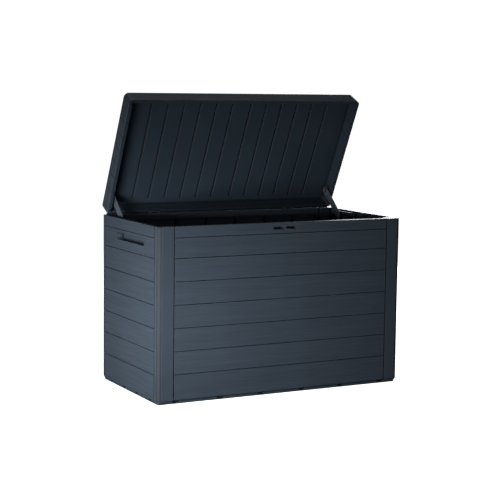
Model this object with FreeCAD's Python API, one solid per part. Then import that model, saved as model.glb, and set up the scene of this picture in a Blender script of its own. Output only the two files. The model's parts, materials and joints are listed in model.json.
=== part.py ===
import FreeCAD, Part
import math
import os

# Garden deck storage box in moulded resin, standing open.
#
# Frame: millimetres. The origin is the middle of the underside, on the ground.
# +X runs along the box to the right, -Y is the front, +Y the hinged back, +Z is up.
# The lid is shown propped open on its two stays, and swings down from there.

Vector = FreeCAD.Vector
X_AXIS = Vector(1, 0, 0)
Y_AXIS = Vector(0, 1, 0)
Z_AXIS = Vector(0, 0, 1)

# ---- overall sizes ----
body_width = 812.0
body_depth = 416.0
body_height = 508.0      # ground to rim
lid_height = 50.0        # rim to the top of the closed lid
open_angle = 63.5        # from closed to the stays' stop

# ---- clearances ----
seam_gap = 0.25          # between mouldings that slot together
air_gap = 0.5            # between the closed lid and the rim
pin_clearance = 0.05     # radial, around a turning pin
seat_clearance = 0.02    # radial, around a pin or screw that stays put

# ---- walls: planked panels with a hollow top rail ----
skin_thickness = 3.5
foot_height = 11.5       # the walls' lower edge, above the ground
rail_depth = 14.0
rail_height = 32.0
lip_height = 20.0        # inner face of the rail
rib_thickness = 3.0
rib_pitch = 105.0
sill_thickness = 3.0
edge_bar_width = 8.0
edge_bar_depth = 12.0
tongue_offset = 5.0      # from the wall's outer face
tongue_thickness = 4.0
tongue_length = 6.0
tongue_top_margin = 8.0
first_groove_height = 84.8
groove_count = 6
top_plank_height = 90.7  # last groove to the rim, with room for the grip
groove_pitch = (body_height - first_groove_height - top_plank_height) / (groove_count - 1)
groove_width = 3.0
groove_depth = 2.0

# ---- corner posts ----
post_face = 52.0         # seen from the front or back
post_side = 25.0         # seen from the side
post_wall = 3.0
post_round = 13.0

# ---- base ----
base_inset = 6.0
base_round = 8.0
floor_height = 24.0
floor_sheet = 3.0
base_rib = 3.0
cells_long = 10
cells_wide = 6
notch_width = 18.0
notch_sill = 2.5
notch_depth = 8.0
clip_width = 15.0
clip_thickness = 3.0
clip_length = 7.0
long_clip_places = (70.0, 203.0, body_width / 2 - post_face - 9.5)
short_clip_places = (48.0, 143.0)

# ---- hand grips and lock slots ----
grip_length = 200.0
grip_forward = 12.0      # middle of the grip, in front of the wall's middle
grip_height = 22.0
grip_depth = 20.0
grip_middle_height = body_height - 52.0
grip_wall = 3.0
grip_round = 9.0
lock_slot_width = 34.0
lock_slot_height = 8.0
lock_slot_divider = 8.0
lock_slot_drop = 16.0    # rim to the middle of the slots
lock_collar_margin = 4.0

# ---- lid ----
lid_side_inset = 11.0    # lid edge, inside the walls' outer faces
lid_front_inset = 19.0
lid_wall = 3.0
lid_corner_round = 15.0  # at the front
lid_back_round = 7.0
lid_edge_round = 6.0
lid_groove_pitch = 46.8
lid_groove_count = 6
flange_width = 6.0       # liner flange that closes the double wall
flange_thickness = 2.5
liner_wall = 2.5
liner_sheet = 2.5
board_level = 8.5        # the liner's boards, under the lid's inner face
board_pitch = 54.0
board_first = 32.0
board_grooves_per_side = 6
board_groove_width = 7.0
board_groove_depth = 3.5
board_border = 18.0
flange_groove_depth = 0.8
end_groove_depth = 1.0   # in the liner's end walls, in line with the lid's planks
end_groove_margin = 4.0

# ---- hinges ----
hinge_setback = 9.0      # hinge axis, inside the back wall's outer face
hinge_rise = 6.0         # hinge axis, above the rim
hinge_spacing = 474.0
knuckle_radius = 5.0
hinge_pin_radius = 2.2
lid_knuckle_width = 18.0
lug_width = 10.5
knuckle_side_gap = 0.5
skirt_behind_axis = 3.0
ledge_rise = 3.0         # rain ledge behind the hinges, above the rim

# ---- stays, their lid brackets and their guides ----
stay_length = 116.0      # lid pivot to foot peg
stay_width = 22.0
stay_thickness = 4.0
stay_channel = 1.2
stay_channel_margin = 5.0
pivot_reach = 48.0       # lid pivot, in front of the hinge axis
pivot_rise = 18.0        # lid pivot, above the hinge axis when closed
stay_pin_radius = 3.0
stay_pin_head_radius = 5.5
stay_pin_head = 2.0
stay_side_gap = 0.3
bracket_thickness = 4.0
bracket_length = 34.0
bracket_height = 18.0
foot_peg_radius = 3.6
track_clearance = 0.4
track_depth = 5.0
track_height = body_height - 20.0    # foot peg above the ground, at both ends of its travel
guide_thickness = 11.0
guide_bottom = body_height - 34.5
guide_top = body_height - 5.0
guide_end_margin = 18.0
screw_radius = 2.0
screw_head_radius = 3.8
screw_head = 1.6
screw_length = 10.0
screw_inset = 7.0

# ---- places worked out from the sizes above ----
half_width = body_width / 2
half_depth = body_depth / 2
hinge_y = half_depth - hinge_setback
hinge_z = body_height + hinge_rise
lid_half_width = half_width - lid_side_inset
lid_front = -half_depth + lid_front_inset
lid_back = hinge_y + skirt_behind_axis
lid_bottom = body_height + air_gap
lid_top = body_height + lid_height
crown_inner = lid_top - lid_wall
liner_half_width = lid_half_width - lid_wall - seam_gap
liner_front = lid_front + lid_wall + seam_gap
liner_back = lid_back - lid_wall - seam_gap
pan_half_width = liner_half_width - flange_width - liner_wall
pan_front = liner_front + flange_width + liner_wall
pan_back = liner_back - flange_width - liner_wall
board_face = crown_inner - board_level
hinge_places = (-hinge_spacing / 2, hinge_spacing / 2)
lock_slot_z = body_height - lock_slot_drop
pivot_y = hinge_y - pivot_reach
pivot_z = hinge_z + pivot_rise
bracket_face = pan_half_width - bracket_thickness
stay_outer = bracket_face - stay_side_gap
stay_inner = stay_outer - stay_thickness
guide_back = half_width - rail_depth
guide_face = guide_back - guide_thickness


def box(x0, x1, y0, y1, z0, z1):
    """A block between two corners, whichever way round they are given."""
    low = Vector(min(x0, x1), min(y0, y1), min(z0, z1))
    return Part.makeBox(abs(x1 - x0), abs(y1 - y0), abs(z1 - z0), low)


def rod_x(x0, x1, y, z, radius):
    """A round bar along X."""
    start = Vector(min(x0, x1), y, z)
    return Part.makeCylinder(radius, abs(x1 - x0), start, X_AXIS)


def joined(shapes):
    """One clean solid from overlapping or touching shapes."""
    return shapes[0].fuse(shapes[1:]).removeSplitter()


def prism(corners, sweep):
    """A straight bar with the given outline."""
    outline = Part.makePolygon(corners + [corners[0]])
    return Part.Face(outline).extrude(sweep)


def upright_edges(shape):
    """The edges that run straight up and down."""
    return [edge for edge in shape.Edges
            if isinstance(edge.Curve, Part.Line) and abs(edge.tangentAt(edge.FirstParameter).z) > 0.999]


def rounded_block(x0, x1, y0, y1, z0, z1, radius):
    """A block with rounded upright corners."""
    block = box(x0, x1, y0, y1, z0, z1)
    return block.makeFillet(radius, upright_edges(block))


def post_block(inset, z0, z1):
    """The front left post's outline, drawn in by an inset, with its outer corner rounded."""
    x0 = -half_width + inset
    y0 = -half_depth + inset
    block = box(x0, -half_width + post_face - inset, y0, -half_depth + post_side - inset, z0, z1)
    corner = [edge for edge in upright_edges(block)
              if abs(edge.CenterOfMass.x - x0) < 0.1 and abs(edge.CenterOfMass.y - y0) < 0.1]
    return block.makeFillet(post_round - inset, corner)


def mirrored_x(shape):
    """The same piece for the other end of the box."""
    return shape.mirror(Vector(0, 0, 0), X_AXIS)


def mirrored_y(shape):
    """The same piece for the other long side of the box."""
    return shape.mirror(Vector(0, 0, 0), Y_AXIS)


def opened(shape):
    """A lid piece turned from its closed place to the open one."""
    turned = shape.copy()
    turned.rotate(Vector(0, hinge_y, hinge_z), X_AXIS, -open_angle)
    return turned


def groove_heights():
    """Heights of the joints between planks, and of the line under the rail."""
    planks = [first_groove_height + groove_pitch * index for index in range(groove_count)]
    return planks + [body_height - rail_height]


# ---- walls ----
def wall_groove(half_length, height):
    """A V groove across a wall's outer face, which is at y = 0."""
    half = groove_width / 2
    corners = [Vector(-half_length - 1, -0.01, height - half),
               Vector(-half_length - 1, -0.01, height + half),
               Vector(-half_length - 1, groove_depth, height)]
    return prism(corners, Vector(2 * half_length + 2, 0, 0))


def rib_places(half_length):
    """Ribs at an even pitch about the wall's middle."""
    count = int((half_length - edge_bar_width) / rib_pitch + 0.5)
    right = [rib_pitch * (index + 0.5) for index in range(count)]
    return [-place for place in right] + right


def clip_tab(place):
    """A snap tab under a wall that enters a notch in the base."""
    middle = notch_depth + base_inset - clip_thickness
    low = foot_height - clip_length
    return box(place - clip_width / 2, place + clip_width / 2,
               middle, middle + clip_thickness - seam_gap, low, foot_height + 1)


def wall_panel(half_length, clip_places):
    """A planked wall in its own frame: x along it, y inwards from its outer face, z up."""
    rim_bottom = body_height - skin_thickness
    lip_bottom = body_height - lip_height
    pieces = [box(-half_length, half_length, 0, skin_thickness, foot_height, body_height),
              box(-half_length, half_length, 0, rail_depth, rim_bottom, body_height),
              box(-half_length, half_length, rail_depth - rib_thickness, rail_depth, lip_bottom, body_height),
              box(-half_length, half_length, 0, rail_depth, foot_height, foot_height + sill_thickness)]
    for end in (-1, 1):
        pieces.append(box(end * half_length, end * (half_length - edge_bar_width),
                          0, edge_bar_depth, foot_height, body_height))
        pieces.append(box(end * half_length, end * (half_length + tongue_length),
                          tongue_offset, tongue_offset + tongue_thickness,
                          floor_height + 2, body_height - tongue_top_margin))
    for place in rib_places(half_length):
        pieces.append(box(place - rib_thickness / 2, place + rib_thickness / 2,
                          0, rail_depth - rib_thickness, foot_height, body_height))
    for place in clip_places:
        pieces.append(clip_tab(-place))
        pieces.append(clip_tab(place))
    wall = joined(pieces)
    return wall.cut([wall_groove(half_length, height) for height in groove_heights()])


def long_wall():
    """Front or back wall, placed as the front one."""
    wall = wall_panel(half_width - post_face - seam_gap, long_clip_places)
    wall.translate(Vector(0, -half_depth, 0))
    return wall


def front_panel():
    """Front wall, with two lock slots through a solid collar in its rail."""
    offset = (lock_slot_width + lock_slot_divider) / 2
    reach = offset + lock_slot_width / 2 + lock_collar_margin
    low = lock_slot_z - lock_slot_height / 2
    collar = box(-reach, reach, -half_depth + 0.5 * skin_thickness, -half_depth + rail_depth,
                 low - lock_collar_margin, body_height - 1)
    wall = joined([long_wall(), collar])
    slots = [rounded_slot(side * offset, low) for side in (-1, 1)]
    return wall.cut(slots)


def rounded_slot(middle, low):
    """One lock slot, cut right through the front rail."""
    half = lock_slot_width / 2
    slot = box(middle - half, middle + half, -half_depth - 1, -half_depth + rail_depth + 1,
               low, low + lock_slot_height)
    along_y = [edge for edge in slot.Edges if abs(edge.tangentAt(edge.FirstParameter).y) > 0.999]
    return slot.makeFillet(1.0, along_y)


def hinge_lugs(place):
    """The two fixed knuckles of one hinge, standing on the back rail."""
    inner = lid_knuckle_width / 2 + knuckle_side_gap
    lugs = []
    for side in (-1, 1):
        x0 = place + side * inner
        x1 = place + side * (inner + lug_width)
        lugs.append(box(x0, x1, hinge_y - knuckle_radius, hinge_y + knuckle_radius, body_height - 1, hinge_z))
        lugs.append(rod_x(x0, x1, hinge_y, hinge_z, knuckle_radius))
    return lugs


def hinge_bore(place, clearance):
    """The hole for one hinge pin, through all its knuckles."""
    reach = lid_knuckle_width / 2 + lug_width + 2
    return rod_x(place - reach, place + reach, hinge_y, hinge_z, hinge_pin_radius + clearance)


def back_panel():
    """Back wall, with the fixed hinge knuckles and a rain ledge on its rail."""
    lugs = [lug for place in hinge_places for lug in hinge_lugs(place)]
    reach = half_width - post_face - seam_gap
    ledge_front = hinge_y + knuckle_radius + air_gap
    ledge_top = body_height + ledge_rise
    ledge = box(-reach, reach, ledge_front, half_depth, body_height - 1, ledge_top)
    over_posts = box(-half_width + post_round + 1, half_width - post_round - 1, ledge_front, half_depth,
                     body_height + seam_gap, ledge_top)
    wall = joined([mirrored_y(long_wall()), ledge, over_posts] + lugs)
    return wall.cut([hinge_bore(place, seat_clearance) for place in hinge_places])


def grip_block(margin, depth):
    """The hand grip's recess in the left wall, grown by a margin."""
    half = grip_length / 2 + margin
    low = grip_middle_height - grip_height / 2 - margin
    high = grip_middle_height + grip_height / 2 + margin
    block = box(-half_width, -half_width + depth, -half - grip_forward, half - grip_forward, low, high)
    along_x = [edge for edge in block.Edges if abs(edge.tangentAt(edge.FirstParameter).x) > 0.999]
    return block.makeFillet(grip_round, along_x)


def screw_places():
    """Where each stay guide is screwed to its wall: Y and Z."""
    start, end = foot_travel()
    height = body_height - lip_height / 2
    return [(end - guide_end_margin + screw_inset, height), (start + guide_end_margin - screw_inset, height)]


def left_side_panel():
    """Left wall, with its hand grip and the pilot holes for the stay guide."""
    wall = wall_panel(half_depth - post_side - seam_gap, short_clip_places)
    wall.rotate(Vector(0, 0, 0), Z_AXIS, -90)
    wall.translate(Vector(-half_width, 0, 0))
    wall = joined([wall, grip_block(grip_wall, grip_depth + grip_wall)])
    recess = grip_block(0, grip_depth)
    mouth = recess.copy()
    mouth.translate(Vector(-1, 0, 0))
    pilots = [rod_x(-half_width + skin_thickness + 1, -guide_back + 1, y, z, screw_radius + seat_clearance)
              for y, z in screw_places()]
    return wall.cut([recess, mouth] + pilots)


# ---- corner posts ----
def front_left_post():
    """A hollow corner post, open below, with slots for the walls' tongues."""
    x0 = -half_width
    y0 = -half_depth
    post = post_block(0, foot_height, body_height)
    hollow = post_block(post_wall, foot_height - 1, body_height - post_wall)
    slot_low = tongue_offset - seam_gap
    slot_high = tongue_offset + tongue_thickness + seam_gap
    slot_top = body_height - tongue_top_margin + seam_gap
    long_slot = box(x0 + post_face - post_wall - 1, x0 + post_face + 1,
                    y0 + slot_low, y0 + slot_high, foot_height - 1, slot_top)
    short_slot = box(x0 + slot_low, x0 + slot_high,
                     y0 + post_side - post_wall - 1, y0 + post_side + 1, foot_height - 1, slot_top)
    return post.cut([hollow, long_slot, short_slot])


# ---- base ----
def post_plug():
    """The block on the base that fills the foot of the front left post."""
    return post_block(post_wall + seam_gap, foot_height / 2, floor_height)


def base_notches():
    """Notches round the base's edge for the walls' snap tabs."""
    notches = []
    top = foot_height + 1
    for place in long_clip_places:
        for side in (-1, 1):
            front = box(side * place - notch_width / 2, side * place + notch_width / 2,
                        -half_depth, -half_depth + base_inset + notch_depth, notch_sill, top)
            notches += [front, mirrored_y(front)]
    for place in short_clip_places:
        for side in (-1, 1):
            left = box(-half_width, -half_width + base_inset + notch_depth,
                       side * place - notch_width / 2, side * place + notch_width / 2, notch_sill, top)
            notches += [left, mirrored_x(left)]
    return notches


def base_cells(floor_half_length, floor_half_width):
    """The hollow cells under the floor, between its crossing ribs."""
    pitch_x = 2 * floor_half_length / cells_long
    pitch_y = 2 * floor_half_width / cells_wide
    cells = []
    for column in range(cells_long):
        for row in range(cells_wide):
            x0 = -floor_half_length + column * pitch_x + base_rib / 2
            y0 = -floor_half_width + row * pitch_y + base_rib / 2
            cells.append(box(x0, x0 + pitch_x - base_rib, y0, y0 + pitch_y - base_rib,
                             -1, floor_height - floor_sheet))
    return cells


def base_tray():
    """The base: a band under the walls, a raised floor inside them and a plug for each post."""
    band = rounded_block(-half_width + base_inset, half_width - base_inset,
                         -half_depth + base_inset, half_depth - base_inset,
                         0, foot_height - seam_gap, base_round)
    edge = rail_depth + seam_gap
    floor = box(-half_width + edge, half_width - edge, -half_depth + edge, half_depth - edge,
                foot_height / 2, floor_height)
    corner = box(-half_width, -half_width + post_face + seam_gap,
                 -half_depth, -half_depth + post_side + seam_gap, foot_height - seam_gap, floor_height + 1)
    corners = [corner, mirrored_x(corner)]
    corners += [mirrored_y(shape) for shape in corners]
    plug = post_plug()
    plugs = [plug, mirrored_x(plug)]
    plugs += [mirrored_y(shape) for shape in plugs]
    body = joined([band, floor.cut(corners)] + plugs)
    cells = base_cells(half_width - edge - base_rib - 4, half_depth - post_side - base_rib)
    return body.cut(base_notches() + cells)


# ---- lid, drawn closed ----
def lid_block(half_length, y0, y1, z0, z1, inset):
    """A block with the lid's corners, for a skin that lies inside the cover by an inset."""
    block = box(-half_length, half_length, y0, y1, z0, z1)
    front = [edge for edge in upright_edges(block) if edge.BoundBox.YMax < y0 + 0.01]
    block = block.makeFillet(lid_corner_round - inset, front)
    back = [edge for edge in upright_edges(block) if edge.BoundBox.YMin > y1 - 0.01]
    return block.makeFillet(lid_back_round - inset, back)


def lid_groove_places():
    """Distances along Y of the joints between the lid's planks."""
    middle = (lid_front + lid_back) / 2
    first = -(lid_groove_count - 1) / 2
    return [middle + (first + index) * lid_groove_pitch for index in range(lid_groove_count)]


def lid_plank_grooves(place):
    """V grooves at one plank joint: over the crown and down both ends."""
    half = groove_width / 2
    reach = lid_half_width
    over = [Vector(-reach - 1, place - half, lid_top + 0.01),
            Vector(-reach - 1, place + half, lid_top + 0.01),
            Vector(-reach - 1, place, lid_top - groove_depth)]
    grooves = [prism(over, Vector(2 * reach + 2, 0, 0))]
    for side in (-1, 1):
        down = [Vector(side * (reach + 0.01), place - half, lid_bottom - 1),
                Vector(side * (reach + 0.01), place + half, lid_bottom - 1),
                Vector(side * (reach - groove_depth), place, lid_bottom - 1)]
        grooves.append(prism(down, Vector(0, 0, lid_height + 2)))
    return grooves


def hinge_notch(place, front, top):
    """Room in the lid's back edge for one hinge."""
    half = lid_knuckle_width / 2 + knuckle_side_gap + lug_width + 1
    return box(place - half, place + half, front, lid_back + 1, lid_bottom - 1, top)


def lid_shell_closed():
    """The planked cover, with its moving hinge knuckles."""
    outer = lid_block(lid_half_width, lid_front, lid_back, lid_bottom, lid_top, 0)
    crown_edges = [edge for edge in outer.Edges
                   if abs(edge.BoundBox.ZMin - lid_top) < 0.01 and abs(edge.BoundBox.ZMax - lid_top) < 0.01]
    outer = outer.makeFillet(lid_edge_round, crown_edges)
    inner = lid_block(lid_half_width - lid_wall, lid_front + lid_wall, lid_back - lid_wall,
                      lid_bottom - 1, crown_inner, lid_wall)
    cuts = [inner]
    for place in lid_groove_places():
        cuts += lid_plank_grooves(place)
    notch_top = hinge_z + knuckle_radius + 1.5
    back_step = box(-lid_half_width - 1, lid_half_width + 1, hinge_y - 1, lid_back + 1,
                    lid_bottom - 1, hinge_z - 3.5)
    cuts.append(back_step)
    cuts += [hinge_notch(place, liner_back - flange_width, notch_top) for place in hinge_places]
    shell = outer.cut(cuts)
    pieces = [shell]
    half = lid_knuckle_width / 2
    for place in hinge_places:
        pieces.append(rod_x(place - half, place + half, hinge_y, hinge_z, knuckle_radius))
        pieces.append(box(place - half, place + half, hinge_y - knuckle_radius, lid_back,
                          hinge_z, crown_inner + 1))
    return joined(pieces).cut([hinge_bore(place, pin_clearance) for place in hinge_places])


def board_groove(place):
    """The outline of one joint between the liner's boards, as a raised channel and its hollow."""
    half = board_groove_width / 2
    wide = half + liner_sheet
    front = pan_front + board_border
    back = pan_back - board_border
    top = board_face + liner_sheet + board_groove_depth
    bump = box(place - wide, place + wide, front - liner_sheet, back + liner_sheet, board_face + 0.5, top)
    corners = [Vector(place - half, front, board_face - 0.01),
               Vector(place + half, front, board_face - 0.01),
               Vector(place + 0.6 * half, front, board_face + board_groove_depth),
               Vector(place - 0.6 * half, front, board_face + board_groove_depth)]
    return bump, prism(corners, Vector(0, back - front, 0))


def lid_liner_closed():
    """The ribbed inner skin: a shallow pan with a flange that meets the cover's lower edge."""
    round_out = lid_corner_round - lid_wall - seam_gap
    flange = lid_block(liner_half_width, liner_front, liner_back,
                       lid_bottom, lid_bottom + flange_thickness, lid_wall + seam_gap)
    pan = rounded_block(-pan_half_width - liner_wall, pan_half_width + liner_wall,
                        pan_front - liner_wall, pan_back + liner_wall,
                        lid_bottom, board_face + liner_sheet, round_out)
    hollow = rounded_block(-pan_half_width, pan_half_width, pan_front, pan_back,
                           lid_bottom - 1, board_face, round_out - liner_wall)
    bumps = []
    grooves = []
    for index in range(board_grooves_per_side):
        for side in (-1, 1):
            bump, groove = board_groove(side * (board_first + board_pitch * index))
            bumps.append(bump)
            grooves.append(groove)
    cuts = [hollow] + grooves
    for place in lid_groove_places():
        for side in (-1, 1):
            cuts.append(box(side * (pan_half_width - 1), side * (liner_half_width + 1),
                            place - groove_width / 2, place + groove_width / 2,
                            lid_bottom - 1, lid_bottom + flange_groove_depth))
            cuts.append(box(side * (pan_half_width - 1), side * (pan_half_width + end_groove_depth),
                            place - groove_width / 2, place + groove_width / 2,
                            lid_bottom - 1, board_face - end_groove_margin))
    notch_top = hinge_z + knuckle_radius + 1.5
    cuts += [hinge_notch(place, liner_back - flange_width + seam_gap, notch_top) for place in hinge_places]
    return joined([flange, pan] + bumps).cut(cuts)


def hinge_pin(place):
    """One hinge pin, held in the fixed knuckles."""
    reach = lid_knuckle_width / 2 + knuckle_side_gap + lug_width
    return rod_x(place - reach, place + reach, hinge_y, hinge_z, hinge_pin_radius)


# ---- stays ----
def pivot_at(angle_open):
    """Y and Z of the stay's lid pivot with the lid open by an angle in degrees."""
    angle = math.radians(angle_open)
    y = hinge_y - pivot_reach * math.cos(angle) + pivot_rise * math.sin(angle)
    z = hinge_z + pivot_reach * math.sin(angle) + pivot_rise * math.cos(angle)
    return y, z


def stay_slope(angle_open):
    """How steeply the stay points down and forwards, with its foot at the track's height."""
    y, z = pivot_at(angle_open)
    return math.degrees(math.asin((z - track_height) / stay_length))


def foot_at(share_closed):
    """Y and Z of the foot peg, from 0 for open to 1 for closed, the stay turning evenly."""
    y, z = pivot_at(open_angle * (1 - share_closed))
    slope = math.radians(stay_slope(open_angle) * (1 - share_closed) + stay_slope(0) * share_closed)
    return y - stay_length * math.cos(slope), z - stay_length * math.sin(slope)


def foot_travel():
    """Y of the foot peg with the lid open and with it closed."""
    return foot_at(0)[0], foot_at(1)[0]


def left_stay():
    """The left stay in its open place: a flat bar with an eye, a shallow channel and a foot peg."""
    y, z = pivot_at(open_angle)
    half = stay_width / 2
    bar = box(-stay_outer, -stay_inner, y - stay_length, y, z - half, z + half)
    eye = rod_x(-stay_outer, -stay_inner, y, z, half)
    foot = rod_x(-stay_outer, -stay_inner, y - stay_length, z, half)
    peg = rod_x(-stay_outer, -guide_face - track_depth + track_clearance, y - stay_length, z, foot_peg_radius)
    stay = joined([bar, eye, foot, peg])
    channel = box(-stay_inner, -stay_inner - stay_channel, y - stay_length + half, y - stay_width,
                  z - half + stay_channel_margin, z + half - stay_channel_margin)
    hole = rod_x(-stay_outer - 1, -stay_inner + 1, y, z, stay_pin_radius + pin_clearance)
    stay = stay.cut([channel, hole])
    stay.rotate(Vector(0, y, z), X_AXIS, stay_slope(open_angle))
    return stay


def bracket_closed():
    """The left stay's plate on the liner's end wall, drawn closed."""
    half = bracket_length / 2
    plate = box(-pan_half_width, -bracket_face, pivot_y - half, pivot_y + half,
                pivot_z - bracket_height / 2, pivot_z + bracket_height / 2)
    along_x = [edge for edge in plate.Edges if abs(edge.tangentAt(edge.FirstParameter).x) > 0.999]
    plate = plate.makeFillet(bracket_height / 4, along_x)
    hole = rod_x(-pan_half_width - 1, -bracket_face + 1, pivot_y, pivot_z, stay_pin_radius + seat_clearance)
    return plate.cut([hole] + bracket_screw_holes())


def bracket_screw_places():
    """Y and Z of the two screws that hold a bracket, drawn closed."""
    reach = bracket_length / 2 - screw_head_radius - 1
    return [(pivot_y - reach, pivot_z), (pivot_y + reach, pivot_z)]


def bracket_screw_holes():
    """Holes for a bracket's screws, with room for their sunk heads."""
    holes = []
    for y, z in bracket_screw_places():
        holes.append(rod_x(-liner_half_width, -bracket_face + 1, y, z, screw_radius + seat_clearance))
        holes.append(rod_x(-bracket_face - screw_head - seat_clearance, -bracket_face + 1, y, z,
                           screw_head_radius + seat_clearance))
    return holes


def screw(head_x, y, z, length):
    """A screw driven outwards to the left, its head flush at head_x."""
    shank = rod_x(head_x - length, head_x, y, z, screw_radius)
    head = rod_x(head_x - screw_head, head_x, y, z, screw_head_radius)
    return joined([shank, head])


def stay_pin_closed():
    """The left stay's pivot pin, headed on the inside, drawn closed."""
    shank = rod_x(-pan_half_width, -stay_inner + stay_side_gap, pivot_y, pivot_z, stay_pin_radius)
    head = rod_x(-stay_inner + stay_side_gap, -stay_inner + stay_side_gap + stay_pin_head,
                 pivot_y, pivot_z, stay_pin_head_radius)
    return joined([shank, head])


def stay_guide():
    """The left guide: a plate on the wall with a track for the stay's foot peg."""
    start, end = foot_travel()
    plate = box(-guide_back, -guide_face, end - guide_end_margin, start + guide_end_margin,
                guide_bottom, guide_top)
    width = foot_peg_radius + track_clearance
    bottom = -guide_face - track_depth
    steps = 12
    cuts = []
    for index in range(steps + 1):
        y, z = foot_at(index / steps)
        cuts.append(rod_x(bottom, -guide_face + 1, y, z, width))
        if index < steps:
            next_y, next_z = foot_at((index + 1) / steps)
            cuts.append(track_run(y, z, next_y, next_z, width, bottom))
    for y, z in screw_places():
        cuts.append(rod_x(-guide_back - 1, -guide_face + 1, y, z, screw_radius + seat_clearance))
        cuts.append(rod_x(-guide_face - screw_head - seat_clearance, -guide_face + 1, y, z,
                          screw_head_radius + seat_clearance))
    return plate.cut(cuts)


def track_run(y0, z0, y1, z1, half, bottom):
    """One straight stretch of the track, between two places of the peg."""
    length = math.hypot(y1 - y0, z1 - z0)
    side_y = -(z1 - z0) / length * half
    side_z = (y1 - y0) / length * half
    corners = [Vector(bottom, y0 + side_y, z0 + side_z), Vector(bottom, y1 + side_y, z1 + side_z),
               Vector(bottom, y1 - side_y, z1 - side_z), Vector(bottom, y0 - side_y, z0 - side_z)]
    return prism(corners, Vector(-guide_face + 1 - bottom, 0, 0))


def both_ends(shapes):
    """A group for both ends of the box, from the left one's pieces."""
    return Part.makeCompound(shapes + [mirrored_x(shape) for shape in shapes])


def build():
    """Every node of the box, by name."""
    post = front_left_post()
    side = left_side_panel()
    guide = stay_guide()
    bracket = opened(bracket_closed())
    pin = opened(stay_pin_closed())
    stay = left_stay()
    liner = lid_liner_closed()
    bracket_holes = bracket_screw_holes()
    liner = liner.cut(bracket_holes + [mirrored_x(hole) for hole in bracket_holes])
    guide_screws = [screw(-guide_face, y, z, screw_length) for y, z in screw_places()]
    bracket_screws = [opened(screw(-bracket_face, y, z, bracket_thickness + liner_wall))
                      for y, z in bracket_screw_places()]
    return {
        "base_tray": base_tray(),
        "front_panel": front_panel(),
        "back_panel": back_panel(),
        "left_side_panel": side,
        "right_side_panel": mirrored_x(side),
        "front_left_post": post,
        "front_right_post": mirrored_x(post),
        "back_left_post": mirrored_y(post),
        "back_right_post": mirrored_x(mirrored_y(post)),
        "left_hinge_pin": hinge_pin(hinge_places[0]),
        "right_hinge_pin": hinge_pin(hinge_places[1]),
        "left_stay_guide": guide,
        "right_stay_guide": mirrored_x(guide),
        "guide_screws": both_ends(guide_screws),
        "lid_shell": opened(lid_shell_closed()),
        "lid_liner": opened(liner),
        "left_stay_bracket": bracket,
        "right_stay_bracket": mirrored_x(bracket),
        "bracket_screws": both_ends(bracket_screws),
        "left_stay_pin": pin,
        "right_stay_pin": mirrored_x(pin),
        "left_stay": stay,
        "right_stay": mirrored_x(stay),
    }


os.makedirs("parts", exist_ok=True)
for name, shape in build().items():
    shape.exportStep("parts/" + name + ".step")
    bounds = shape.BoundBox
    print(f"{name}: {len(shape.Solids)} solid(s), {shape.Volume / 1000:.1f} cm3, "
          f"z {bounds.ZMin:.1f} to {bounds.ZMax:.1f}, valid {shape.isValid()}")
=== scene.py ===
# %% [markdown]
# # A resin deck storage box, standing open
# The box is a garden chest in anthracite resin. Planked walls slot into hollow corner
# posts, a planked lid swings on two hinges at the back, and two stays prop it open.
# Outer sizes and places come from the frame, which holds the working parts in metres.
# Only small finishing sizes, such as bevels and the spacing of the grain, are chosen here.

# %% Load the frame and keep its box
import bpy
import json
import math
from mathutils import Matrix, Vector


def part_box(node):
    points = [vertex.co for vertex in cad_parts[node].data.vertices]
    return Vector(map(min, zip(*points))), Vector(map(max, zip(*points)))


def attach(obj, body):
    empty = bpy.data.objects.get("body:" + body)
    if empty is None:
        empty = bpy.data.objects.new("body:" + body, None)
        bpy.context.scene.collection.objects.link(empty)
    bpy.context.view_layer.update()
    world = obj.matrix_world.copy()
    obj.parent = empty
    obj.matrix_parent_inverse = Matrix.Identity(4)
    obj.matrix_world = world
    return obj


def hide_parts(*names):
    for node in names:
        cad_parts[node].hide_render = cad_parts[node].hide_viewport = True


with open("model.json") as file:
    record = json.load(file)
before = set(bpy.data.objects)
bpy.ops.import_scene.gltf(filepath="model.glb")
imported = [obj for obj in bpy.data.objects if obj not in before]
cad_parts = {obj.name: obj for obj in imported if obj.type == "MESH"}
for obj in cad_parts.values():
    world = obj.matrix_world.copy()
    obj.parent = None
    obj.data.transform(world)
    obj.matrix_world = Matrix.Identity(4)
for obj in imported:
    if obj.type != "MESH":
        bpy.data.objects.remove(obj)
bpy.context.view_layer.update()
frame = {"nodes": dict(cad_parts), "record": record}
nodes = frame["nodes"]
record = frame["record"]
scene = bpy.context.scene

# %% [markdown]
# ## How the lid stands
# Grain on the lid follows the lid, which stands tilted. Its opening angle comes from the
# record, so the pattern can be laid out along the lid itself.

# %% The lid's own directions
joints = {joint["name"]: joint for joint in record["behaviour"]["joints"]}
open_angle = math.radians(joints["lid_hinge"]["range_deg"][1])
lid_along = Vector((0, -math.cos(open_angle), math.sin(open_angle)))
lid_up = Vector((0, math.sin(open_angle), math.cos(open_angle)))
print("lid open by", round(math.degrees(open_angle), 1), "degrees")

# %% [markdown]
# ## Camera
# A long lens from the front left, a little above the rim and leaning slightly. Its place
# is measured from the middle of the box on the ground.

# %% Set the camera
CAMERA_PLACE = Vector((-2.0023, -3.7514, 0.9042))
CAMERA_TURN = math.radians(27.832)
CAMERA_DIP = math.radians(6.507)
CAMERA_LEAN = math.radians(0.717)
CAMERA_LENS = 102.85

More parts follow.
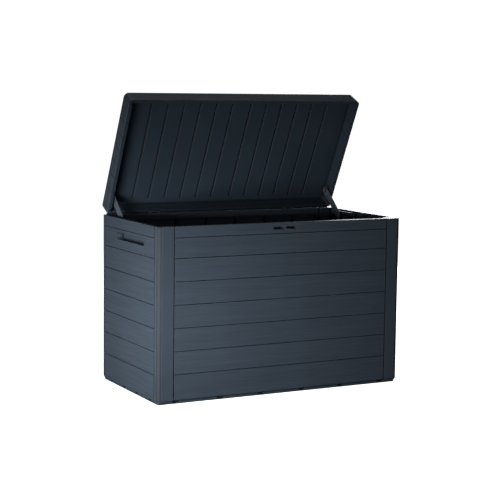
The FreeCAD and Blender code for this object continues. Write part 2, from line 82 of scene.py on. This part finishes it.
ahead = Vector((
    math.sin(CAMERA_TURN) * math.cos(CAMERA_DIP),
    math.cos(CAMERA_TURN) * math.cos(CAMERA_DIP),
    -math.sin(CAMERA_DIP),
))
level = Vector((math.cos(CAMERA_TURN), -math.sin(CAMERA_TURN), 0))
upright = level.cross(ahead)
right = level * math.cos(CAMERA_LEAN) + upright * math.sin(CAMERA_LEAN)
up = upright * math.cos(CAMERA_LEAN) - level * math.sin(CAMERA_LEAN)
camera_data = bpy.data.cameras.new("camera")
camera_data.lens = CAMERA_LENS
camera_data.sensor_width = 36.0
camera_data.clip_end = 200.0
camera = bpy.data.objects.new("camera", camera_data)
turn = Matrix((right, up, -ahead)).transposed().to_4x4()
camera.matrix_world = Matrix.Translation(CAMERA_PLACE) @ turn
scene.collection.objects.link(camera)
scene.camera = camera
print("camera", tuple(round(c, 3) for c in CAMERA_PLACE), "lens", CAMERA_LENS)

# %% [markdown]
# ## Shader sums in plain Python
# A finish is easier to read as a sum than as a web of nodes. `Value` wraps one output
# socket, and its operators add the Math nodes. `Finish` owns a material's tree, and its
# `node` method adds any other node: settings first, then sockets.

# %% Value
class Value:
    """One output socket that can be added, subtracted, multiplied and divided."""

    def __init__(self, finish, socket):
        self.finish = finish
        self.socket = socket

    def _sum(self, operation, left, right):
        return self.finish.node("ShaderNodeMath", {"operation": operation}, {0: left, 1: right})

    def __add__(self, other):
        return self._sum("ADD", self, other)

    def __radd__(self, other):
        return self._sum("ADD", other, self)

    def __sub__(self, other):
        return self._sum("SUBTRACT", self, other)

    def __rsub__(self, other):
        return self._sum("SUBTRACT", other, self)

    def __mul__(self, other):
        return self._sum("MULTIPLY", self, other)

    def __rmul__(self, other):
        return self._sum("MULTIPLY", other, self)

    def __truediv__(self, other):
        return self._sum("DIVIDE", self, other)

    def __rtruediv__(self, other):
        return self._sum("DIVIDE", other, self)


print("sums ready")

# %% Finish
JOINT_REACH = 0.008
# Patches along outer edges that show wear and a painted highlight.
WEAR_AND_HIGHLIGHT_PATCHES = ((0.30, 0.25), (0.62, 1.0))
# Stops that turn little open space into painted shade, with dirt in the joints.
SHADE_AND_DIRT_STOPS = ((0.72, 1.0), (0.96, 0.0))


class Finish:
    """A material and the short words its recipes are written in."""

    def __init__(self, name):
        self.material = bpy.data.materials.new(name)
        self.material.use_nodes = True
        self.tree = self.material.node_tree
        self.shader = next(n for n in self.tree.nodes if n.type == "BSDF_PRINCIPLED")

    def put(self, socket, value):
        if isinstance(value, Value):
            self.tree.links.new(value.socket, socket)
        else:
            socket.default_value = value

    def node(self, kind, settings=None, sockets=None, output=0):
        made = self.tree.nodes.new(kind)
        for key, value in (settings or {}).items():
            if key == "stops":
                ramp = made.color_ramp
                while len(ramp.elements) < len(value):
                    ramp.elements.new(1.0)
                for element, (place, shade) in zip(ramp.elements, value):
                    element.position = place
                    element.color = (shade, shade, shade, 1)
            else:
                setattr(made, key, value)
        for key, value in (sockets or {}).items():
            self.put(made.inputs[key], value)
        return Value(self, made.outputs[output])

    def place(self):
        return self.node("ShaderNodeTexCoord", output="Object")

    def along(self, direction):
        """How far a point lies along a direction, in metres."""
        return self.node("ShaderNodeVectorMath", {"operation": "DOT_PRODUCT"},
                         {0: self.place(), 1: tuple(direction)}, output="Value")

    def vector(self, x, y, z):
        return self.node("ShaderNodeCombineXYZ", sockets={0: x, 1: y, 2: z})

    def noise(self, vector, scale, detail=3.0, roughness=0.55):
        return self.node("ShaderNodeTexNoise", sockets={
            "Vector": vector, "Scale": scale, "Detail": detail, "Roughness": roughness})

    def ramp(self, value, *stops):
        return self.node("ShaderNodeValToRGB", {"stops": stops}, {0: value})

    def blend(self, factor, first, second):
        """A colour between two."""
        return self.node("ShaderNodeMix", {"data_type": "RGBA"},
                         {0: factor, 6: first, 7: second}, output=2)

    def relief(self, height, distance, strength=1.0, under=None):
        sockets = {"Height": height, "Distance": distance, "Strength": strength}
        if under is not None:
            sockets["Normal"] = under
        return self.node("ShaderNodeBump", sockets=sockets)

    def edges(self):
        """Two masks: outer edges that show wear and a painted highlight, and joints and other
        spots with little open space, which get painted shade and dirt.
        """
        marked = self.node("ShaderNodeAttribute", {"attribute_name": "rub"}, output="Fac")
        patchy = self.ramp(self.noise(self.place(), 14.0, 3.0), *WEAR_AND_HIGHLIGHT_PATCHES)
        # Little open space darkens the colour: painted shade, with dirt in the joints.
        sheltered = self.node("ShaderNodeAmbientOcclusion", {"samples": 6},
                              {"Distance": JOINT_REACH}, output="AO")
        shade_and_dirt = self.ramp(sheltered, *SHADE_AND_DIRT_STOPS)
        return marked * patchy * (1 - shade_and_dirt), shade_and_dirt


print("shader helpers ready")

# %% [markdown]
# ## Moulded resin
# The box is moulded in anthracite resin with a satin skin, paler on the stays and the small
# resin fittings; inside the lid its colour is darker, a painted shade for the shadow there.
# The mould leaves three marks: a broad cloudiness, a fine spark-eroded pebble, and on the
# planks a wood grain of long thin streaks. Where hands and boots wear them, edges turn a
# little paler and smoother; the paler colour is partly wear and partly a painted highlight.
# Joints between planks, and every spot with little open space, darken with painted shade and
# dirt. The worn edges are read from a mark on the mesh, made when the edges are bevelled, and
# the painted shade and dirt from how little open space a point sees. A second mark paints a
# darker shade on the rounded corner of each post, which is also less glossy than the rest.

# %% Resin recipes
RESIN_DEEP = (0.0145, 0.0205, 0.0280, 1)
RESIN_PALE = (0.0235, 0.0315, 0.0420, 1)
# Paler edges: partly wear, partly a painted highlight.
RESIN_WEAR_AND_HIGHLIGHT = (0.060, 0.078, 0.098, 1)
# Near black for joints and spots with little open space: painted shade and dirt.
RESIN_SHADE_AND_DIRT = (0.003, 0.004, 0.006, 1)
# Darker colour on the rounded post corners: a painted shade.
RESIN_CORNER_SHADE = (0.0075, 0.0100, 0.0135, 1)
# The liner's darker colours: a painted shade for the shadow inside the lid.
LINER_SHADED_DEEP = (0.009, 0.014, 0.020, 1)
LINER_SHADED_PALE = (0.014, 0.021, 0.029, 1)
FITTING_DEEP = (0.030, 0.040, 0.052, 1)
FITTING_PALE = (0.045, 0.056, 0.070, 1)
RESIN_SHINE = 0.16
PEBBLE = 0.00006
PLANK = 0.0665
LID_PLANK = 0.0468
DEEP_GRAIN = 0.00035
FAINT_GRAIN = 0.00005
X = Vector((1, 0, 0))
Y = Vector((0, 1, 0))
Z = Vector((0, 0, 1))

# How fine each mark is, in repeats a metre. Grain has three: lengthwise, across and inwards.
CLOUDS = 7.0
PEBBLES = 900.0
STREAKS = (9.0, 340.0, 40.0)
VEINS = (2.2, 62.0, 12.0)


def wood(finish, run, across, out, plank):
    """The moulded grain as a mask: 0 in its furrows, 1 on its ridges, new on each plank."""
    plank_row = finish.node("ShaderNodeMath", {"operation": "FLOOR"},
                            {0: finish.along(across) / plank})

    def layer(rates, shift, detail, roughness):
        lengthwise, crosswise, inwards = rates
        place = finish.vector(
            finish.along(run) * lengthwise + plank_row * shift,
            finish.along(across) * crosswise,
            finish.along(out) * inwards,
        )
        return finish.noise(place, 1.0, detail, roughness)

    streak = layer(STREAKS, 3.7, 4.0, 0.62)
    vein = layer(VEINS, 9.1, 3.0, 0.5)
    return finish.ramp(streak * 0.65 + vein * 0.35, (0.38, 0.0), (0.62, 1.0))


def resin(name, deep=RESIN_DEEP, pale=RESIN_PALE, gloss=0.42, rub=0.5, shade_and_grime=0.94,
          grain=None, carve=0.0):
    """Satin moulded resin.

    grain is (run, across, out, plank): the direction of the streaks, the direction across
    the planks, the way the face looks and a plank's width. carve is its relief in metres.
    """
    finish = Finish(name)
    cloud = finish.noise(finish.place(), CLOUDS, 3.0)
    tint = cloud
    fine = finish.noise(finish.place(), PEBBLES, 2.0)
    normal = finish.relief(fine, PEBBLE, 0.6)
    rough = gloss + cloud * 0.10
    if grain is not None:
        cut = wood(finish, *grain)
        normal = finish.relief(cut, carve, 0.8, normal)
        tint = cloud * 0.45 + cut * 0.55
        rough = rough + (1 - cut) * 0.12
    skin = finish.blend(tint, deep, pale)
    # The rounded post corners: a darker colour as painted shade, and rougher.
    matt_and_shade = finish.node("ShaderNodeAttribute", {"attribute_name": "corner"}, output="Fac")
    skin = finish.blend(matt_and_shade * 0.75, skin, RESIN_CORNER_SHADE)
    wear_and_highlight_mask, shade_and_dirt = finish.edges()
    # Outer edges turn paler: partly wear, partly a painted highlight.
    colour = finish.blend(wear_and_highlight_mask * rub, skin, RESIN_WEAR_AND_HIGHLIGHT)
    # Joints and sheltered spots turn dark: painted shade and dirt.
    colour = finish.blend(shade_and_dirt * shade_and_grime, colour, RESIN_SHADE_AND_DIRT)
    finish.put(finish.shader.inputs["Base Color"], colour)
    finish.put(finish.shader.inputs["Roughness"],
               rough - wear_and_highlight_mask * 0.10 + shade_and_dirt * 0.2 + matt_and_shade * 0.3)
    finish.put(finish.shader.inputs["Normal"], normal)
    finish.shader.inputs["Specular IOR Level"].default_value = RESIN_SHINE
    return finish.material


front_resin = resin("front_plank_resin", grain=(X, Z, Y, PLANK), carve=DEEP_GRAIN)
side_resin = resin("side_plank_resin", grain=(Y, Z, X, PLANK), carve=FAINT_GRAIN)
post_resin = resin("post_resin")
base_resin = resin("base_resin")
lid_resin = resin("lid_resin", grain=(X, lid_along, lid_up, LID_PLANK), carve=DEEP_GRAIN)
# The liner is darker as a painted shade for the shadow inside the lid.
liner_resin = resin("liner_resin", LINER_SHADED_DEEP, LINER_SHADED_PALE, gloss=0.46, rub=0.12, shade_and_grime=0.7)
fitting_resin = resin("fitting_resin", FITTING_DEEP, FITTING_PALE, gloss=0.36)
print("resins", [m.name for m in bpy.data.materials])

# %% [markdown]
# ## Zinc-plated steel
# Hinge pins and screws are small and bright, with a slightly blotchy passivated skin.

# %% Steel recipe
steel = Finish("steel")
blotch = steel.noise(steel.place(), 260.0, 3.0)
lathe_marks = steel.vector(steel.along(X) * 900.0, steel.along(Y) * 60.0, steel.along(Z) * 60.0)
turned = steel.noise(lathe_marks, 1.0)
steel.put(steel.shader.inputs["Base Color"],
          steel.blend(blotch, (0.36, 0.36, 0.35, 1), (0.58, 0.58, 0.56, 1)))
steel.put(steel.shader.inputs["Roughness"], 0.24 + blotch * 0.16)
steel.put(steel.shader.inputs["Normal"], steel.relief(turned, 0.00002, 0.5))
steel.shader.inputs["Metallic"].default_value = 1.0
print("steel ready")

# %% [markdown]
# ## Casting a part with soft edges
# No moulded edge is sharp. Most parts are cast from their frame parts: the loose triangles
# are merged, and a bevel runs along every long sharp edge. That could be done with a
# rounding shader, but a real bevel also shows in the exported mesh. The bevel puts its new
# faces in a material slot of their own, so they can be found again, and those that stand
# out are marked for wear and a painted highlight.

# %% Finding the edges to soften
SHORTEST_EDGE = 0.0022
SHARP_TURN = math.cos(math.radians(35))


def only(piece):
    """Select one piece and nothing else."""
    bpy.ops.object.select_all(action="DESELECT")
    piece.select_set(True)
    bpy.context.view_layer.objects.active = piece


def sharp_long_edges(mesh):
    """The edges that a bevel should round: long enough, and between well-turned faces."""
    turned_faces = {}
    for face in mesh.polygons:
        for key in face.edge_keys:
            turned_faces.setdefault(key, []).append(face.normal)
    marked = []
    for edge in mesh.edges:
        normals = turned_faces.get(edge.key, [])
        first, second = (mesh.vertices[i].co for i in edge.vertices)
        long_enough = (first - second).length > SHORTEST_EDGE
        if long_enough and len(normals) == 2 and normals[0].dot(normals[1]) < SHARP_TURN:
            marked.append(edge.index)
    return marked


print("sharp edges over", SHORTEST_EDGE, "m get softened")

# %% Noting which bevels stand out
BEVEL_SLOT = 1


def mark_wear_and_highlight(mesh):
    """Mark with 1 each bevel face that stands out, for the resin to paint paler as wear and a
    painted highlight.
    """
    beside = {}
    for face in mesh.polygons:
        for key in face.edge_keys:
            beside.setdefault(key, []).append(face.index)
    rub = mesh.attributes.new("rub", "FLOAT", "FACE")
    for face in mesh.polygons:
        if face.material_index != BEVEL_SLOT:
            continue
        lean = 0.0
        for key in face.edge_keys:
            first, second = (mesh.vertices[i].co for i in key)
            for other in beside[key]:
                if other != face.index:
                    fall = (mesh.polygons[other].center - face.center).dot(face.normal)
                    lean += math.copysign((second - first).length, fall)
        if lean < 0:
            rub.data[face.index].value = 1.0
        face.material_index = 0


print("bevel faces wait in slot", BEVEL_SLOT)

# %% Softening and casting
BEVEL_SEGMENTS = 2
SMOOTH_TURN = math.radians(32)
MERGE_DISTANCE = 0.000001
FITTING_EDGE = 0.0006


def soften(piece, material, edge):
    """Bevel a piece's sharp edges, note which of them stand out, and smooth its shading."""
    only(piece)
    marked = sharp_long_edges(piece.data)
    weight = piece.data.attributes.new("bevel_weight_edge", "FLOAT", "EDGE")
    for index in marked:
        weight.data[index].value = 1.0
    piece.data.materials.clear()
    piece.data.materials.append(material)
    piece.data.materials.append(material)
    bevel = piece.modifiers.new("soft_edges", "BEVEL")
    bevel.material = BEVEL_SLOT
    bevel.limit_method = "WEIGHT"
    bevel.width = edge
    bevel.segments = BEVEL_SEGMENTS
    bevel.use_clamp_overlap = False
    bevel.miter_outer = "MITER_ARC"
    bpy.ops.object.modifier_apply(modifier=bevel.name)
    mark_wear_and_highlight(piece.data)
    piece.data.materials.pop(index=BEVEL_SLOT)
    bpy.ops.object.shade_smooth_by_angle(angle=SMOOTH_TURN)
    fields = piece.modifiers.new("flat_fields", "WEIGHTED_NORMAL")
    fields.keep_sharp = True
    bpy.ops.object.modifier_apply(modifier=fields.name)
    print(piece.name, len(piece.data.polygons), "faces,", len(marked), "edges softened")


def settle(piece, body, node):
    """Hang a finished piece on the body it rides on, and hide the frame part it stands for."""
    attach(piece, body)
    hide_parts(node)


def cast(node, name, body, material, edge=FITTING_EDGE):
    """A copy of a frame part with bevelled edges, riding on a body in its place."""
    piece = bpy.data.objects.new(name, nodes[node].data.copy())
    scene.collection.objects.link(piece)
    only(piece)
    bpy.ops.object.mode_set(mode="EDIT")
    bpy.ops.mesh.select_all(action="SELECT")
    bpy.ops.mesh.remove_doubles(threshold=MERGE_DISTANCE)
    bpy.ops.object.mode_set(mode="OBJECT")
    soften(piece, material, edge)
    settle(piece, body, node)


print("fittings get bevels of", FITTING_EDGE, "m")

# %% [markdown]
# ## Corner posts
# Each post is a hollow upright whose outer corner is rounded. The rounded corner lies a
# hair behind the flat faces, which leaves a fine edge that catches the light down each side
# of it, and the edge that meets the wall is stepped back, so a dark line runs between post
# and plank. It could be cast from the frame too, but a post is simple enough to model as by
# hand: a block at its size, a wide bevel for the corner, an inset and a push for the hollow,
# a hollow bevel for the step, and an inset that sinks the corner.

# %% Selecting by place
def pick_faces(mesh, wanted):
    """In edit mode, select just the faces that a test accepts, and say how many."""
    bpy.ops.mesh.select_mode(type="FACE")
    bpy.ops.mesh.select_all(action="DESELECT")
    bpy.ops.object.mode_set(mode="OBJECT")
    for face in mesh.polygons:
        face.select = wanted(face)
    count = sum(face.select for face in mesh.polygons)
    bpy.ops.object.mode_set(mode="EDIT")
    return count


def pick_edges(mesh, wanted):
    """In edit mode, select just the edges whose ends a test accepts, and say how many."""
    bpy.ops.mesh.select_mode(type="EDGE")
    bpy.ops.mesh.select_all(action="DESELECT")
    bpy.ops.object.mode_set(mode="OBJECT")
    for edge in mesh.edges:
        first, second = (mesh.vertices[i].co for i in edge.vertices)
        edge.select = wanted(first, second)
    count = sum(edge.select for edge in mesh.edges)
    bpy.ops.object.mode_set(mode="EDIT")
    return count


print("ready to select by place")

# %% Model a post
POST_ROUND = 0.013
POST_WALL = 0.003
SEAM_STEP = 0.0026
CORNER_INSET = 0.0004
CORNER_SINK = 0.0012
POST_EDGE = 0.0004
NEAR = 0.0001
TALL = 0.1


def corner_post(corner):
    """A block at its size and place, rounded, hollowed from below, stepped and sunk."""
    node = corner + "_post"
    low, high = (Vector(c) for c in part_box(node))
    across = math.copysign(1, low.x)
    back = math.copysign(1, low.y)
    outer_x, inner_x = (low.x, high.x) if across < 0 else (high.x, low.x)
    outer_y, inner_y = (low.y, high.y) if back < 0 else (high.y, low.y)

    def stands_at(a, b, x, y):
        spread = abs(a.x - x) + abs(b.x - x) + abs(a.y - y) + abs(b.y - y)
        return spread < NEAR and abs(a.z - b.z) > TALL

    bpy.ops.object.select_all(action="DESELECT")
    bpy.ops.mesh.primitive_cube_add(size=1.0, location=(low + high) / 2, scale=high - low)
    post = bpy.context.object
    post.name = corner + "_corner"
    bpy.ops.object.transform_apply(location=True, rotation=True, scale=True)
    mesh = post.data
    bpy.ops.object.mode_set(mode="EDIT")
    rounded = pick_edges(mesh, lambda a, b: stands_at(a, b, outer_x, outer_y))
    bpy.ops.mesh.bevel(offset=POST_ROUND, segments=8, profile=0.5, affect="EDGES")
    pick_faces(mesh, lambda f: f.normal.z < -0.99)
    bpy.ops.mesh.inset(thickness=POST_WALL)
    bpy.ops.mesh.extrude_region_move(
        TRANSFORM_OT_translate={"value": (0, 0, high.z - low.z - POST_WALL)})
    stepped = pick_edges(mesh, lambda a, b: stands_at(a, b, inner_x, outer_y)
                         or stands_at(a, b, outer_x, inner_y))
    bpy.ops.mesh.bevel(offset=SEAM_STEP, segments=2, profile=0.0, affect="EDGES")
    reach = POST_ROUND + 0.0005
    strips = pick_faces(mesh, lambda f: f.normal.x * across > 0.02 and f.normal.y * back > 0.02
                        and (f.center.x - outer_x) * across > -reach
                        and (f.center.y - outer_y) * back > -reach)
    bpy.ops.mesh.inset(thickness=CORNER_INSET, depth=-CORNER_SINK)
    bpy.ops.object.mode_set(mode="OBJECT")
    # The sunk strips are marked so the resin paints them darker, as a painted shade.
    sunk = mesh.attributes.new("corner", "FLOAT", "FACE")
    for face in mesh.polygons:
        sunk.data[face.index].value = float(face.select)
    print(post.name, "rounded", rounded, "stepped", stepped, "strips sunk", strips)
    soften(post, post_resin, POST_EDGE)
    settle(post, "box", node)


for corner in ("front_left", "front_right", "back_left", "back_right"):
    corner_post(corner)

# %% [markdown]
# ## Walls and base
# The walls and the base are large mouldings full of ribs, tongues and slots. Modelling them
# again would only risk a misfit, so they are cast from the frame.

# %% Cast the walls and base
PLANK_EDGE = 0.0003
cast("base_tray", "base_tray_cast", "box", base_resin)
WALLS = (
    ("front_panel", "front_wall", front_resin),
    ("back_panel", "back_wall", front_resin),
    ("left_side_panel", "left_wall", side_resin),
    ("right_side_panel", "right_wall", side_resin),
)
for panel, wall, skin in WALLS:
    cast(panel, wall, "box", skin, edge=PLANK_EDGE)

# %% [markdown]
# ## Lid and stays
# The lid is an outer cover and an inner skin whose darker colour is a painted shade for the
# shadow inside the lid. A stay at each end turns on a plate under the lid and slides in a
# track on the end wall. The plates and tracks have to match the moving frame exactly, so
# they are cast from it too, each riding on what carries it.

# %% Cast the lid and its stays
cast("lid_shell", "lid_cover", "lid", lid_resin)
cast("lid_liner", "lid_lining", "lid", liner_resin)
for side in ("left", "right"):
    cast(side + "_stay", side + "_prop", side + "_stay", fitting_resin)
    # The plates under the lid take the liner's painted shade.
    cast(side + "_stay_bracket", side + "_prop_plate", "lid", liner_resin)
    cast(side + "_stay_guide", side + "_prop_track", "box", post_resin)

# %% [markdown]
# ## Pins and screws
# The hinge pins and screws are steel, and the pins that the stays turn on are resin. Their
# frame shapes are right as they are, so they only get a finish.

# %% Finish the fittings that keep their frame shape
for name, part in nodes.items():
    if part.hide_render:
        continue
    skin = steel.material if ("screws" in name or "hinge_pin" in name) else fitting_resin
    if not part.data.materials:
        part.data.materials.append(skin)
    for holder in part.material_slots:
        holder.material = skin
    print("finished", name)

# %% [markdown]
# ## Floor, light and sky
# A pale floor runs out to a pale round backdrop. Both glow evenly, so nothing stands behind
# the box but plain white, and both are kept out of bounced light, because a floor this
# bright would light the walls from below. One soft window light stands low and close on the
# front left, so its light falls off along the front and leaves the inside dark. Fills from
# above, behind and the front right and a dim cool sky open the shadows.

# %% Floor and backdrop
STAGE_REACH = 60.0
FLOOR_DROP = 0.0004
STAGE_LOW = (0.60, 0.60, 0.60, 1)
STAGE_HIGH = (0.64, 0.64, 0.64, 1)


def glowing(name, drift_scale):
    finish = Finish(name)
    drift = finish.noise(finish.place(), drift_scale, 2.0)
    finish.put(finish.shader.inputs["Base Color"], finish.blend(drift, STAGE_LOW, STAGE_HIGH))
    finish.shader.inputs["Roughness"].default_value = 0.85
    finish.shader.inputs["Specular IOR Level"].default_value = 0.1
    finish.shader.inputs["Emission Color"].default_value = (1, 1, 1, 1)
    finish.shader.inputs["Emission Strength"].default_value = 1.0
    return finish.material


def stage_only(obj, material):
    """Seen by the camera, and by nothing that lights the box."""
    obj.data.materials.append(material)
    obj.visible_diffuse = False
    obj.visible_glossy = False
    obj.visible_shadow = False


bpy.ops.object.select_all(action="DESELECT")
bpy.ops.mesh.primitive_circle_add(
    vertices=96, radius=STAGE_REACH, fill_type="NGON", location=(0, 0, -FLOOR_DROP))
floor = bpy.context.object
floor.name = "floor"
stage_only(floor, glowing("pale_floor", 1.2))
bpy.ops.object.select_all(action="DESELECT")
bpy.ops.mesh.primitive_uv_sphere_add(segments=48, ring_count=24, radius=STAGE_REACH)
backdrop = bpy.context.object
backdrop.name = "backdrop"
stage_only(backdrop, glowing("pale_backdrop", 0.1))
print("floor and backdrop reach", STAGE_REACH, "m")

# %% Lights
COOL = (0.95, 0.98, 1.0)


def soft_light(name, place, target, size, power, tint=(1, 1, 1), spread=180, shine=1.0):
    data = bpy.data.lights.new(name, "AREA")
    data.spread = math.radians(spread)
    data.shape = "RECTANGLE"
    data.size, data.size_y = size
    data.energy = power
    data.color = tint
    lamp = bpy.data.objects.new(name, data)
    direction = Vector(target) - Vector(place)
    lamp.location = place
    lamp.rotation_euler = direction.to_track_quat("-Z", "Y").to_euler()
    lamp.visible_camera = False
    data.specular_factor = shine
    scene.collection.objects.link(lamp)
    print(name, power, "W")


soft_light("window_left", (-1.45, -0.95, 0.42), (-0.35, -0.1, 0.20), (0.7, 0.3), 12.4, spread=62)
soft_light("ceiling", (-0.2, 0.1, 2.6), (0, 0, 0), (2.2, 1.6), 14.0, shine=0.3)
soft_light("fill_behind", (2.0, 1.9, 1.1), (0.1, 0.15, 0.3), (1.4, 1.4), 90.0, COOL, shine=0.05)
soft_light("fill_front", (1.3, -2.7, 1.3), (0.1, 0.0, 0.5), (1.6, 1.2), 2.0, COOL, shine=0.3)

# %% Sky
SKY_TINT = (0.93, 0.98, 1.0, 1)
SKY_STRENGTH = 0.15
world = bpy.data.worlds.new("studio")
world.use_nodes = True
scene.world = world
background = next(n for n in world.node_tree.nodes if n.type == "BACKGROUND")
background.inputs["Color"].default_value = SKY_TINT
background.inputs["Strength"].default_value = SKY_STRENGTH
scene.view_settings.view_transform = "Standard"
print("studio ready")
